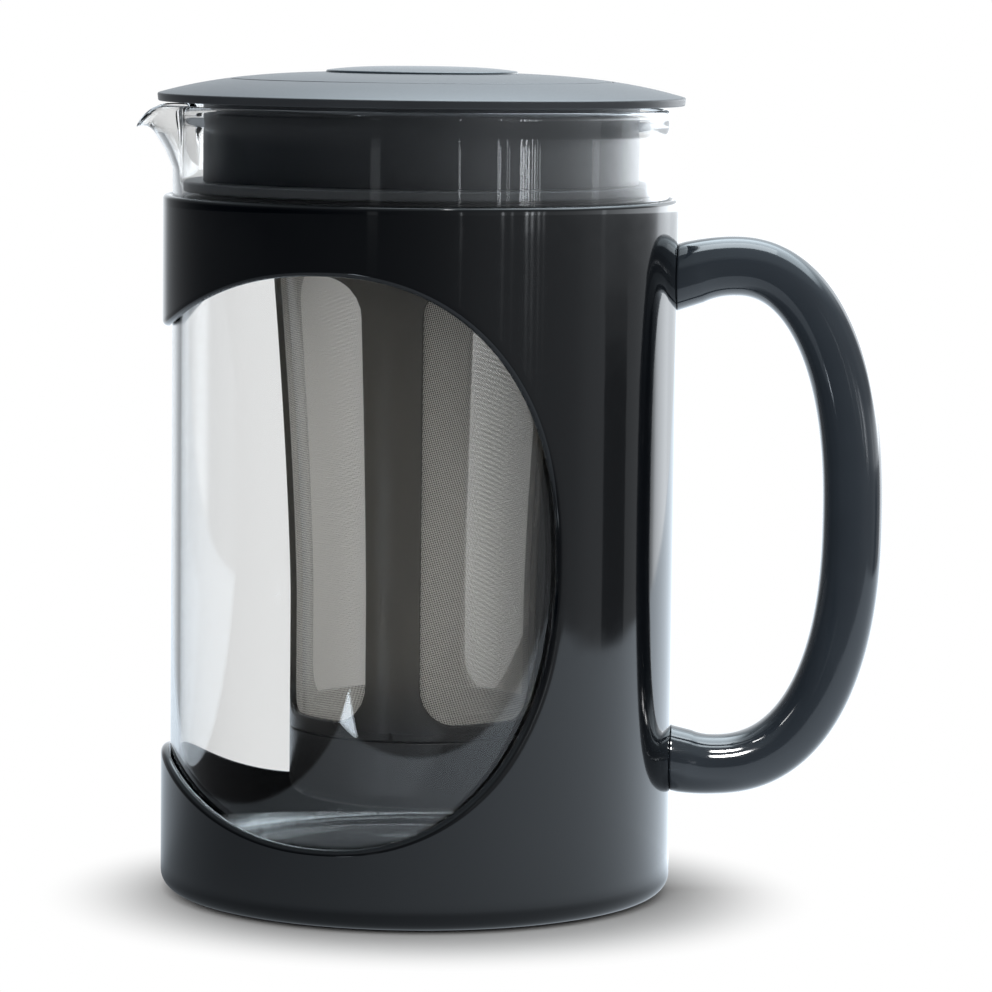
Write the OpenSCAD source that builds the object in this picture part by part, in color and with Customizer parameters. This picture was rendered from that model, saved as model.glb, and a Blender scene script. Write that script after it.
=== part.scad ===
/* [Sleeve] */
// Outer radius of the plastic sleeve
sleeve_r = 59; // [49:0.5:72]
// Height of the sleeve's rim above the table
sleeve_h = 160.4; // [130:0.2:200]
// Wall thickness of the sleeve
sleeve_wall = 1.8; // [1.5:0.1:2.6]
// Thickness of the sleeve's floor
sleeve_floor = 2.8; // [2.4:0.1:4]
// Radius of the sleeve's lower outer corner
sleeve_corner = 4; // [2:0.5:8]

/* [Window] */
// Distance from the sleeve's rim down to the window
window_top_margin = 15.6; // [8:0.2:24]
// Height of the window's lowest point above the table
window_base_margin = 18.2; // [12:0.2:30]
// Distance from the axis to the window's end on the handle side
window_reach = 31.3; // [10:0.1:44]
// How far the window's outline runs past the wall on the spout side
window_wrap = 16; // [6:1:24]
// Power of the window's outline: 2 is an ellipse
window_power = 2.25; // [2:0.05:3]

/* [Base] */
// Distance from the sleeve's outside in to the foot pad's edge
foot_pad_inset = 13; // [8:1:24]
// Thickness of the non-slip foot pad
foot_pad_t = 1.6; // [1:0.1:2]
// How far the foot pad stands below the sleeve
foot_pad_proud = 0.4; // [0.2:0.1:0.8]
// Distance from the glass's outside in to the cushion's edge
cushion_inset = 10.8; // [10:0.2:24]
// Thickness of the cushion under the glass
cushion_t = 1.2; // [0.8:0.1:2.5]

/* [Handle] */
// Distance from the sleeve to the middle line of the grip
handle_reach = 41.4; // [32:0.2:56]
// Distance from the sleeve to the highest point of the middle line
handle_crown_out = 13.4; // [10:0.2:18]
// Distance from the sleeve's rim down to that highest point
handle_crown_drop = 15.3; // [12:0.1:30]
// Drop of the middle line from there to the upper root
handle_crown_fall = 4; // [0:0.5:6]
// Height of the middle line's widest point above the table
handle_belly_z = 88.3; // [70:0.1:100]
// Distance from the sleeve to the lowest point of the middle line
handle_heel_out = 9.3; // [8:0.1:16]
// Height of that lowest point above the table
handle_heel_z = 29.3; // [20:0.1:40]
// Rise of the middle line from there to the lower root
handle_heel_rise = 2.5; // [0:0.5:6]
// Thickness of the handle in its own plane
handle_t = 13.6; // [10:0.2:17]
// Width of the handle across its plane
handle_w = 16; // [12:0.5:22]
// How much wider each root is on every side
handle_flare = 1; // [0:0.1:2]
// Power of the handle's section and of the lower half of its bow: 2 is an ellipse
handle_power = 2.4; // [2:0.05:3]
// Power of the upper half of the handle's bow
handle_top_power = 2.25; // [2:0.05:3]

/* [Screws] */
// Radius of a handle screw's shank
screw_r = 1.5; // [1.2:0.1:2]
// Radius of a handle screw's head
screw_head_r = 3; // [2.6:0.1:3.6]
// Length of a handle screw
screw_len = 12; // [10:0.5:14]

/* [Carafe] */
// Gap between the sleeve's bore and the glass
glass_gap = 0.4; // [0.3:0.1:0.8]
// Wall thickness of the glass
glass_wall = 2; // [1.6:0.1:3]
// Thickness of the glass floor
glass_floor = 2.6; // [2:0.1:4]
// Radius of the glass's lower outer corner
glass_corner = 9; // [6:0.5:10]
// How far the glass stands above the sleeve's rim
glass_stand = 20.4; // [19:0.2:30]
// How far the rim's bead swells past the wall, inside and outside
rim_swell = 0.3; // [0.1:0.1:0.3]
// Rise of the glass floor's middle
punt_rise = 1.8; // [0.5:0.1:2.4]
// How far the spout's lip stands out from the glass
spout_reach = 8.5; // [6:0.5:11]
// How far the lip's outer end lies below the rim
spout_lip_drop = 4.4; // [3:0.2:5]
// Depth of the spout below the rim
spout_depth = 14; // [10:0.5:15]
// Half of the angle that the spout takes out of the rim
spout_half_deg = 15; // [10:1:22]

/* [Lid] */
// How far the lid's edge stands past the sleeve
lid_overhang = 1.4; // [0.5:0.1:4]
// Gap between the glass rim and the lid's edge
lid_gap = 0.9; // [0.6:0.1:3]
// Thickness of the lid at its edge
lid_edge = 1.8; // [1.2:0.1:3]
// Rise of the lid's dome over its edge
dome_rise = 5.2; // [4:0.1:12]
// Power of the dome's curve: higher is flatter in the middle
dome_power = 3.4; // [2:0.1:4]
// Wall thickness of the lid's mouldings
lid_wall = 2; // [1.6:0.1:2.6]
// Gap between the glass's bore and the lid's neck
neck_gap = 4.9; // [4:0.1:7]
// Depth of the lid's neck down to the gasket
neck_depth = 17.9; // [14:0.1:24]
// Distance from the neck's outside in to the cover's edge
cover_inset = 6.4; // [5:0.1:9]
// Width of the groove round the cover
cover_groove = 0.4; // [0.2:0.1:0.6]
// Radius of the button in the middle of the lid
badge_r = 22; // [12:0.5:26]
// How far the button stands above the dome
badge_proud = 1.3; // [0.8:0.1:1.8]

/* [Gasket] */
// Height of the lid's gasket
gasket_h = 7.3; // [6:0.1:10]
// Thickness of the gasket's lips
gasket_lip = 2.8; // [1:0.1:3]
// Gap between the gasket's lips and the glass
gasket_gap = 0.35; // [0.3:0.05:0.6]

/* [Brew core] */
// Outer radius of the core below its flare
core_r = 29.3; // [22:0.1:33]
// Outer radius of the core at its top
core_top_r = 33.9; // [33:0.1:38]
// Height over which the core flares
core_flare_h = 78; // [60:1:85]
// Power of the flare's curve
core_flare_power = 1.4; // [1:0.1:2]
// Wall thickness of the core's frame
core_wall = 3; // [2.6:0.1:4]
// Height of the core's cap above the glass floor's middle
core_clear = 14; // [13:0.1:24]
// Height of the removable bottom cap
cap_h = 15.5; // [6:0.1:17]
// Angle of the front rib from the front towards the handle
core_clock = -11; // [-45:1:45]
// Angle that each mesh window spans, seen from the core's axis
mesh_deg = 65; // [50:1:70]
// Height of solid frame below the mesh windows
mesh_base_band = 3.6; // [3:0.1:8]
// Height of solid frame above the mesh windows
mesh_top_band = 8.8; // [8:0.1:16]
// Radius of the mesh windows' corners
mesh_corner = 8.5; // [3:0.5:12]
// Thickness of the woven mesh
mesh_t = 0.5; // [0.3:0.1:0.8]
// How far the mesh is moulded into the frame, in degrees
mesh_grip_deg = 5; // [3:0.5:6]
// How far the mesh is moulded into the frame's bands
mesh_grip = 2; // [1:0.1:2.4]

/* [Screw joints] */
// Height of the thread that holds the core in the lid
collar_h = 6.6; // [6:0.1:7]
// Wall thickness of the collar and of its socket
collar_wall = 2; // [1.6:0.1:3]
// How far the thread's crests stand out
thread_rise = 0.9; // [0.6:0.1:1.2]
// Radial clearance round the threads
thread_gap = 0.3; // [0.3:0.05:0.5]
// Height of the space for the seal above the collar
seal_space = 2.5; // [2.2:0.1:3]
// Section radius of the seal between core and lid
seal_r = 1; // [0.7:0.05:1]
// Depth of the cap's spigot in the core
spigot_h = 5.6; // [4:0.1:6]
// Section radius of the seal between cap and core
cap_seal_r = 0.6; // [0.5:0.05:0.6]

/* [Hidden] */
$fn = 96;
EPS = 0.01;
REST_GAP = 0.1;       // between the glass and its cushion
RUNNING = 0.05;       // round what turns on the lid
WINDOW_POINTS = 120;
HANDLE_SIDES = 28;
HANDLE_STEPS = 22;    // rings on each half of the handle's bow
ROOT_STEPS = 5;
ROOT_SINK = 2;        // how far the handle's middle line starts inside the sleeve
FLARE_RUN = 7;        // distance over which a root's extra width fades
DOME_STEPS = 24;
CORE_STEPS = 20;
HEAD_SPARE = 0.3;     // straight shank between a screw's head and the sleeve's outside
SLOT_W = 0.6;         // width and half length of the cross in a screw's head, and its depth
SLOT_HALF = 1.6;
SLOT_DEPTH = 0.9;
SPOUT_TIP_R = 3.4;    // radii of the spout's rounded tip and of its sides
SPOUT_SIDE_R = 3;
SPOUT_FLOOR = 2.4;    // how much higher the channel starts than the tip's middle
CHANNEL_HALF = 2;     // half width of the channel's open top at the rim, and at the tip
CHANNEL_TIP = 0.8;
SKIN = 0.5;           // small overlap and ledge depths in the glass floor and the lid
LIP_W = 1.5;          // width of the lid's edge under the overhang
GASKET_BASE = 0.9;    // distance from the neck to the outside of the gasket between its lips
COVER_LEDGE = 3;      // width of the ledge that carries the lid's cover
BADGE_SINK = 1;       // how deep the button's seat lies, and how high its edge stands
BADGE_EDGE = 0.5;
SOCKET_LIFT = 0.6;    // how much higher the socket ends than the collar, and its extra wall
CREST_HALF = 0.3;     // half widths of a thread crest at its top and its foot
CREST_FOOT = 0.9;
THREAD_START = 1.8;   // height of the first crest in the collar, and the step to the next
THREAD_PITCH = 2.4;
CAP_CORNER = 3;       // radius of the cap's lower corner
CAP_FLOOR = 2.2;      // thickness of the cap's floor, and of its wall
CAP_WALL = 2;
SEAL_PLAY = 0.1;      // between the cap's seal and its groove

glass_r = sleeve_r - sleeve_wall - glass_gap;
bore_r = glass_r - glass_wall;
glass_z = foot_pad_proud + sleeve_floor + cushion_t + REST_GAP;
rim_z = sleeve_h + glass_stand;
floor_z = glass_z + glass_floor + punt_rise;

lid_r = sleeve_r + lid_overhang;
lid_z = rim_z + lid_gap;
dome_z = lid_z + lid_edge;
neck_r = bore_r - neck_gap;
neck_z = lid_z - neck_depth;
gasket_r = bore_r - gasket_gap;
flange_r = gasket_r - 2;
web_top_z = neck_z - gasket_h;
web_z = web_top_z - lid_wall;
cover_r = neck_r - cover_inset;
ledge_z = dome(cover_r) - lid_wall - SKIN;

collar_top_z = web_z - seal_space;
collar_z = collar_top_z - collar_h;
collar_r = core_top_r + collar_wall;
socket_r = collar_r + thread_rise + thread_gap;
cap_z = floor_z + core_clear;
core_z = cap_z + cap_h;
flare_z = collar_z - core_flare_h;
cap_joint = 0.3;      // between the cap's shoulder and the core
window_z = core_z + mesh_base_band;
window_top_z = collar_top_z - mesh_top_band;
cap_seal_mid_r = core_r - core_wall / 2;

// Signed power, for superellipses
function spow(v, p) = sign(v) * pow(abs(v), p);
// Point of a superellipse with half-axes a and b at an angle
function superellipse(a, b, power, deg) = [a * spow(cos(deg), 2 / power), b * spow(sin(deg), 2 / power)];
// Height of the lid's dome at a radius
function dome(r) = dome_z + dome_rise * (1 - pow(r / lid_r, dome_power));
// Outer radius of the brew core at a height: straight below, flaring up to the collar
function core_at(z) =
    core_r + (core_top_r - core_r) * pow(min(1, max(0, (z - flare_z) / core_flare_h)), core_flare_power);

// Middle line of the handle in its plane: a root, two quarters of a superellipse, a root
crown = [sleeve_r + handle_crown_out, sleeve_h - handle_crown_drop];
heel = [sleeve_r + handle_heel_out, handle_heel_z];
belly = [sleeve_r + handle_reach, handle_belly_z];
root_x = sleeve_r - ROOT_SINK;
top_root_z = crown[1] - handle_crown_fall;
low_root_z = heel[1] + handle_heel_rise;
handle_line = concat(
    [for (i = [0 : ROOT_STEPS - 1]) let (t = i / ROOT_STEPS)
        [root_x + (crown[0] - root_x) * t, crown[1] - handle_crown_fall * pow(1 - t, 2)]],
    [for (i = [0 : HANDLE_STEPS - 1])
        let (q = superellipse(belly[0] - crown[0], crown[1] - belly[1], handle_top_power,
                               90 - 90 * i / HANDLE_STEPS))
        [crown[0] + q[0], belly[1] + q[1]]],
    [for (i = [0 : HANDLE_STEPS - 1])
        let (q = superellipse(belly[0] - heel[0], belly[1] - heel[1], handle_power, 90 * i / HANDLE_STEPS))
        [heel[0] + q[0], belly[1] - q[1]]],
    [for (i = [0 : ROOT_STEPS]) let (t = i / ROOT_STEPS)
        [heel[0] + (root_x - heel[0]) * t, heel[1] + handle_heel_rise * pow(t, 2)]]);
handle_rings = len(handle_line);

function unit(v) = v / norm(v);
function handle_along(i) =
    unit(handle_line[min(i + 1, handle_rings - 1)] - handle_line[max(i - 1, 0)]);
// How much wider the handle is at a ring than along the grip: it fades away from the roots
function handle_swell(i) = handle_flare * exp(-pow((handle_line[i][0] - root_x) / FLARE_RUN, 2));

// Solid half section of a cup with a rounded lower corner
module cup_section(r, z, top, corner) {
    translate([0, z + corner]) square([r, top - z - corner]);
    translate([0, z]) square([r - corner, corner + EPS]);
    translate([r - corner, z + corner]) circle(corner);
}

// Rectangle with its lower left corner at the origin and four round corners
module rounded_rect(w, h, r) {
    translate([r, 0]) square([w - 2 * r, h]);
    translate([0, r]) square([w, h - 2 * r]);
    for (x = [r, w - r], y = [r, h - r]) translate([x, y]) circle(r);
}

// Ring with a rectangular section
module ring(inner, outer, z, h) {
    translate([0, 0, z]) difference() {
        cylinder(h = h, r = outer);
        translate([0, 0, -1]) cylinder(h = h + 2, r = inner);
    }
}

// Carries a drawing so that its axis is a handle screw's, which points at the handle
module at_screws() {
    for (z = [top_root_z, low_root_z])
        translate([sleeve_r - sleeve_wall, 0, z]) rotate([0, 90, 0]) children();
}

// Side opening of the sleeve, cut straight across and open towards the spout
module window() {
    half_w = (sleeve_r + window_wrap + window_reach) / 2;
    half_h = (sleeve_h - window_top_margin - window_base_margin) / 2;
    translate([window_reach - half_w, 0, window_base_margin + half_h])
        rotate([90, 0, 0])
        linear_extrude(3 * sleeve_r, center = true)
        polygon([for (i = [0 : WINDOW_POINTS - 1])
            superellipse(half_w, half_h, window_power, 360 * i / WINDOW_POINTS)]);
}

module sleeve() {
    rim = sleeve_wall / 2;
    color([0.05, 0.06, 0.07]) difference() {
        rotate_extrude() difference() {
            union() {
                cup_section(sleeve_r, foot_pad_proud, sleeve_h - rim, sleeve_corner);
                translate([sleeve_r - rim, sleeve_h - rim]) circle(rim);
            }
            cup_section(sleeve_r - sleeve_wall, foot_pad_proud + sleeve_floor, sleeve_h + 1,
                        sleeve_corner - sleeve_wall / 2);
            square([sleeve_r - foot_pad_inset, foot_pad_t]);
        }
        window();
        at_screws() {
            translate([0, 0, -1]) cylinder(h = sleeve_wall + 2, r = screw_r);
            translate([0, 0, -1]) cylinder(h = 1 + RUNNING, r = screw_head_r);
            translate([0, 0, RUNNING]) cylinder(h = sleeve_wall - HEAD_SPARE, r1 = screw_head_r, r2 = screw_r);
        }
    }
}

module handle() {
    color([0.07, 0.09, 0.11]) difference() {
        polyhedron(
            points = [for (i = [0 : handle_rings - 1]) let (t = handle_along(i), s = handle_swell(i))
                for (j = [0 : HANDLE_SIDES - 1])
                    let (q = superellipse(handle_t / 2 + s, handle_w / 2 + s, handle_power,
                                          360 * j / HANDLE_SIDES))
                    [handle_line[i][0] - t[1] * q[0], q[1], handle_line[i][1] + t[0] * q[0]]],
            faces = concat(
                [for (i = [0 : handle_rings - 2]) for (j = [0 : HANDLE_SIDES - 1])
                    let (a = i * HANDLE_SIDES, k = (j + 1) % HANDLE_SIDES)
                    [a + j, a + k, a + HANDLE_SIDES + k, a + HANDLE_SIDES + j]],
                [[for (j = [HANDLE_SIDES - 1 : -1 : 0]) j]],
                [[for (j = [0 : HANDLE_SIDES - 1]) (handle_rings - 1) * HANDLE_SIDES + j]]),
            convexity = 4);
        cylinder(h = sleeve_h, r = sleeve_r);
        at_screws() cylinder(h = screw_len + 1, r = screw_r);
    }
}

// Two countersunk screws from inside the sleeve, their heads sunk in its wall
module handle_screws() {
    color([0.7, 0.71, 0.72]) at_screws() translate([0, 0, RUNNING]) difference() {
        union() {
            cylinder(h = sleeve_wall - HEAD_SPARE, r1 = screw_head_r, r2 = screw_r);
            cylinder(h = screw_len, r = screw_r);
        }
        for (turn = [0, 90]) rotate(turn) translate([-SLOT_HALF, -SLOT_W / 2, -1])
            cube([2 * SLOT_HALF, SLOT_W, 1 + SLOT_DEPTH]);
    }
}

module foot_pad() {
    color([0.1, 0.1, 0.11]) rotate_extrude()
        square([sleeve_r - foot_pad_inset, foot_pad_t]);
}

module glass_cushion() {
    color([0.15, 0.15, 0.16]) translate([0, 0, foot_pad_proud + sleeve_floor])
        cylinder(h = cushion_t, r = glass_r - cushion_inset);
}

// The spout as a beak between the rim and a low point on the wall, thinner by a given wall
module beak(wall) {
    side_r = SPOUT_SIDE_R - wall;
    hull() {
        translate([SPOUT_TIP_R - glass_r - spout_reach, 0, rim_z - spout_lip_drop + (wall > 0 ? SPOUT_FLOOR : 0)])
            sphere(SPOUT_TIP_R - wall, $fn = 32);
        translate([SPOUT_SIDE_R - glass_r, 0, rim_z - spout_depth + wall]) sphere(side_r, $fn = 32);
        for (s = [-1, 1]) rotate(s * spout_half_deg)
            translate([SPOUT_SIDE_R - glass_r, 0, rim_z - SPOUT_SIDE_R]) sphere(side_r, $fn = 32);
    }
}

module carafe() {
    bead = glass_wall / 2 + rim_swell;
    inner_corner = glass_corner - glass_wall;
    punt_r = glass_r - 2 * glass_corner;
    channel_x = SPOUT_TIP_R - glass_r - spout_reach;
    color([0.85, 0.9, 0.92, 0.35]) difference() {
        union() {
            rotate_extrude() difference() {
                union() {
                    cup_section(glass_r, glass_z, rim_z - bead, glass_corner);
                    translate([glass_r - glass_wall / 2, rim_z - bead]) circle(bead);
                }
                cup_section(bore_r, glass_z + glass_floor, rim_z - bead, inner_corner);
                translate([0, rim_z - bead - EPS]) square([bore_r - rim_swell - EPS, bead * 3]);
                // hollow under the floor's middle
                polygon([[0, glass_z - 1], [0, glass_z + punt_rise], [punt_r, glass_z], [punt_r, glass_z - 1]]);
            }
            // floor's middle, raised like the hollow under it
            rotate_extrude() polygon([[0, glass_z + glass_floor - SKIN], [0, floor_z],
                [punt_r, glass_z + glass_floor], [punt_r, glass_z + glass_floor - SKIN]]);
            difference() {
                beak(0);
                cylinder(h = 2 * rim_z, r = bore_r + glass_wall / 2);
                translate([0, 0, rim_z]) cylinder(h = spout_depth, r = 2 * glass_r);
            }
        }
        beak(glass_wall);
        // the channel is open above
        translate([0, 0, rim_z - spout_lip_drop + SPOUT_FLOOR]) linear_extrude(spout_depth)
            polygon([[glass_corner - glass_r, -CHANNEL_HALF], [glass_corner - glass_r, CHANNEL_HALF],
                     [channel_x, CHANNEL_TIP], [channel_x, -CHANNEL_TIP]]);
    }
}

// Silicone ring with two lips, stretched over the neck and held up by the flange
module lid_gasket() {
    color([0.2, 0.21, 0.22]) {
        ring(neck_r + RUNNING, neck_r + GASKET_BASE, web_top_z + RUNNING, gasket_h - RUNNING);
        for (z = [neck_z - gasket_lip, neck_z - gasket_h / 2 - gasket_lip])
            ring(neck_r + GASKET_BASE - EPS, gasket_r, z, gasket_lip);
    }
}

// Half section of the dome between two radii, down to a height
module dome_section(inner, outer, low) {
    polygon(concat([[inner, low], [outer, low]],
        [for (i = [DOME_STEPS : -1 : 0]) let (r = inner + (outer - inner) * i / DOME_STEPS)
            [r, dome(r)]]));
}

// The lid's rim, neck and lower web in one moulding
module lid_body() {
    color([0.13, 0.15, 0.17]) rotate_extrude() difference() {
        union() {
            dome_section(cover_r + cover_groove, lid_r, lid_z);
            translate([neck_r - lid_wall, web_z]) square([lid_wall, dome_z - web_z]);
            translate([cover_r - COVER_LEDGE, ledge_z - lid_wall])
                square([neck_r - cover_r + COVER_LEDGE, lid_wall]);
            translate([0, web_z]) square([flange_r, lid_wall]);
        }
        // hollow under the overhanging dome
        translate([0, -lid_wall]) intersection() {
            dome_section(neck_r, lid_r, 0);
            square([lid_r - LIP_W, 2 * rim_z]);
        }
    }
}

module lid_cover() {
    color([0.15, 0.17, 0.19]) rotate_extrude() difference() {
        dome_section(0, cover_r, ledge_z);
        translate([0, -lid_wall]) dome_section(0, cover_r - COVER_LEDGE, 0);
        translate([0, dome(badge_r) - BADGE_SINK]) square([badge_r, dome_rise]);
    }
}

// Low lens-shaped button pressed into the cover
module lid_badge() {
    seat = dome(badge_r) - BADGE_SINK;
    edge = dome(badge_r) + BADGE_EDGE;
    top = dome(0) + badge_proud;
    color([0.2, 0.28, 0.34]) rotate_extrude() polygon(concat(
        [[0, seat], [badge_r - RUNNING, seat]],
        [for (i = [DOME_STEPS : -1 : 0]) let (t = i / DOME_STEPS)
            [(badge_r - RUNNING) * t, edge + (top - edge) * (1 - pow(t, dome_power))]]));
}

// Threaded socket welded under the lid's web
module lid_socket() {
    color([0.13, 0.15, 0.17])
        ring(socket_r, socket_r + collar_wall + SOCKET_LIFT, collar_z + SOCKET_LIFT,
             web_z - collar_z - SOCKET_LIFT);
}

module core_seal() {
    color([0.3, 0.31, 0.32]) rotate_extrude()
        translate([core_top_r + collar_wall / 2, collar_top_z + seal_space / 2]) circle(seal_r);
}

// Ring on the core's top with the crests of its thread
module core_collar() {
    color([0.1, 0.11, 0.12]) {
        ring(core_top_r, collar_r, collar_z, collar_h);
        for (i = [0 : 1]) rotate_extrude()
            translate([collar_r - EPS, collar_z + THREAD_START + THREAD_PITCH * i])
            polygon([[0, -CREST_FOOT], [thread_rise, -CREST_HALF], [thread_rise, CREST_HALF], [0, CREST_FOOT]]);
    }
}

// Half section of the core's wall, between two depths under its outside
module core_section(outer_depth, inner_depth, low, high) {
    zs = [for (i = [0 : CORE_STEPS]) low + (high - low) * i / CORE_STEPS];
    polygon(concat([for (z = zs) [core_at(z) - outer_depth, z]],
        [for (i = [CORE_STEPS : -1 : 0]) [core_at(zs[i]) - inner_depth, zs[i]]]));
}

// Direction of a mesh window's middle, counted on from the front rib
function mesh_angle(i) = core_clock - 90 + 45 + 90 * i;

// Woven panel in the middle of the frame's wall; it runs on into the ribs and bands
module mesh_panel(i) {
    span = mesh_deg + 2 * mesh_grip_deg;
    color([0.6, 0.59, 0.56]) rotate(mesh_angle(i) - span / 2) rotate_extrude(angle = span)
        core_section((core_wall - mesh_t) / 2, (core_wall + mesh_t) / 2,
                     window_z - mesh_grip, window_top_z + mesh_grip);
}

module core_frame() {
    window_w = 2 * core_r * sin(mesh_deg / 2);
    color([0.1, 0.11, 0.12]) difference() {
        rotate_extrude() core_section(0, core_wall, core_z, collar_top_z);
        for (i = [0 : 3]) {
            rotate(mesh_angle(i)) rotate([90, 0, 90]) translate([-window_w / 2, window_z, core_r / 2])
                linear_extrude(core_top_r) rounded_rect(window_w, window_top_z - window_z, mesh_corner);
            mesh_panel(i);
        }
    }
}

module mesh_front_left() { mesh_panel(3); }
module mesh_front_right() { mesh_panel(0); }
module mesh_rear_right() { mesh_panel(1); }
module mesh_rear_left() { mesh_panel(2); }

// Bottom cap that screws into the core, with a groove for its seal
module core_cap() {
    spigot_r = core_r - core_wall - thread_gap;
    shoulder_z = core_z - cap_joint;
    color([0.1, 0.11, 0.12]) rotate_extrude() difference() {
        union() {
            cup_section(core_r, cap_z, shoulder_z, CAP_CORNER);
            translate([0, shoulder_z - EPS]) square([spigot_r, spigot_h + cap_joint]);
        }
        translate([0, cap_z + CAP_FLOOR]) square([spigot_r - CAP_WALL, cap_h + spigot_h]);
        translate([cap_seal_mid_r - cap_seal_r - SEAL_PLAY, shoulder_z - 2 * cap_seal_r - SEAL_PLAY])
            square([2 * (cap_seal_r + SEAL_PLAY), cap_h]);
    }
}

module cap_seal() {
    color([0.3, 0.31, 0.32]) rotate_extrude()
        translate([cap_seal_mid_r, core_z - cap_joint - cap_seal_r + RUNNING]) circle(cap_seal_r);
}

sleeve();
handle();
handle_screws();
foot_pad();
glass_cushion();
carafe();
lid_gasket();
lid_body();
lid_cover();
lid_badge();
lid_socket();
core_seal();
core_collar();
core_frame();
mesh_front_left();
mesh_front_right();
mesh_rear_right();
mesh_rear_left();
core_cap();
cap_seal();
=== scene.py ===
import bmesh
import bpy
import numpy as np
from mathutils import Matrix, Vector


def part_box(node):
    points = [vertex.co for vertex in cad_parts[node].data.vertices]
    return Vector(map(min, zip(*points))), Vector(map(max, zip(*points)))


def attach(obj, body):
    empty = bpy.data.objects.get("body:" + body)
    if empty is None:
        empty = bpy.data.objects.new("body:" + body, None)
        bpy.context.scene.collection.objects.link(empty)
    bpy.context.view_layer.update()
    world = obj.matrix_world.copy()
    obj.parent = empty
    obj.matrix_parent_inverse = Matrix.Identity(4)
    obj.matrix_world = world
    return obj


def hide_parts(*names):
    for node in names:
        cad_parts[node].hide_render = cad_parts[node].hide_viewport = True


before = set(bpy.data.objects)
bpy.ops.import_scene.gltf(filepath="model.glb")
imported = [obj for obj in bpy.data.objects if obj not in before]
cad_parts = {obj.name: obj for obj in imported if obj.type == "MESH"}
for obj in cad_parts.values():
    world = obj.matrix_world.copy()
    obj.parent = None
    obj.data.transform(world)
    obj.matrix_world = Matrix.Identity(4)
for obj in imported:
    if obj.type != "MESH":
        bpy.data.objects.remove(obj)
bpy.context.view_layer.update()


# ---------------------------------------------------------------- foot pad
# A disc of soft black silicone, let into the sleeve's underside and standing a little
# below it, so that the maker doesn't slide on the table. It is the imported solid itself.
def new_material(name, colour, roughness, **sockets):
    """A Principled material. Plain numbers and colours go straight onto the shader's own sockets.
    Returns the node tree and the shader."""
    material = bpy.data.materials.new(name)
    material.use_nodes = True
    tree = material.node_tree
    shader = tree.nodes["Principled BSDF"]
    shader.inputs["Base Color"].default_value = (*colour, 1)
    shader.inputs["Roughness"].default_value = roughness
    for socket, value in sockets.items():
        shader.inputs[socket.replace("_", " ")].default_value = value
    return material, tree, shader


def noise(tree, scale, detail=3.0):
    """Noise on Object coordinates, scale in lumps a metre."""
    place = tree.nodes.new("ShaderNodeTexCoord")
    texture = tree.nodes.new("ShaderNodeTexNoise")
    texture.inputs["Scale"].default_value = scale
    texture.inputs["Detail"].default_value = detail
    tree.links.new(place.outputs["Object"], texture.inputs["Vector"])
    return texture.outputs["Fac"]


def spread(tree, value, low, high):
    """The value from 0 to 1 stretched over low to high."""
    change = tree.nodes.new("ShaderNodeMapRange")
    change.inputs["To Min"].default_value = low
    change.inputs["To Max"].default_value = high
    tree.links.new(value, change.inputs["Value"])
    return change.outputs["Result"]


def tint(tree, value, dark, light):
    """A colour between dark and light by the value."""
    mix = tree.nodes.new("ShaderNodeMix")
    mix.data_type = "RGBA"
    mix.inputs["A"].default_value = (*dark, 1)
    mix.inputs["B"].default_value = (*light, 1)
    tree.links.new(value, mix.inputs["Factor"])
    return mix.outputs["Result"]


def bump(tree, shader, height, distance, strength=1.0):
    """Raises the surface's shading by the height, distance in metres."""
    node = tree.nodes.new("ShaderNodeBump")
    node.inputs["Strength"].default_value = strength
    node.inputs["Distance"].default_value = distance
    tree.links.new(height, node.inputs["Height"])
    tree.links.new(node.outputs["Normal"], shader.inputs["Normal"])


def coat_cad_node(name, material):
    """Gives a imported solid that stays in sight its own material."""
    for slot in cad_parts[name].material_slots:
        slot.material = material


silicone, tree, shader = new_material("pad_silicone", (0.02, 0.02, 0.022), 0.62, Specular_IOR_Level=0.35)
grain = noise(tree, 900)
tree.links.new(tint(tree, grain, (0.016, 0.016, 0.018), (0.026, 0.026, 0.028)), shader.inputs["Base Color"])
tree.links.new(spread(tree, grain, 0.5, 0.75), shader.inputs["Roughness"])
bump(tree, shader, grain, 0.00004)
coat_cad_node("foot_pad", silicone)


# ---------------------------------------------------------------- sleeve
# The outer cup, moulded in glossy blue-black plastic 1.8 mm thick. One large rounded
# window is cut straight across both walls and runs open round the spout side.
SLEEVE_WALL = 0.0018
SLEEVE_FLOOR = 0.0028
SLEEVE_CORNER = 0.004
CORNER_FLAT = 0.0004                # flat just inside the foot's corner
PAD_RECESS = (0.046, 0.0012)        # radius and depth
PAD_FILLET = 0.0003
WINDOW_MIDDLE = (-0.02185, 0.0815)  # x and z
WINDOW_HALF = (0.05315, 0.0633)
WINDOW_POWER = 2.25
WINDOW_FILLETS = (0.0013, 0.0003)   # outside and inside
sleeve_low, sleeve_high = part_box("sleeve")
sleeve_r = sleeve_high.y
sleeve_foot, sleeve_rim = sleeve_low.z, sleeve_high.z


def power(value, exponent):
    """Signed power, for superellipses."""
    return np.sign(value) * np.abs(value) ** exponent


def evenly(points, count):
    """The same line with count points, evenly spaced along its length."""
    steps = np.linalg.norm(np.diff(points, axis=0), axis=1)
    along = np.concatenate([[0], np.cumsum(steps)])
    wanted = np.linspace(0, along[-1], count)
    return np.stack([np.interp(wanted, along, column) for column in points.T], axis=1)


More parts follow.
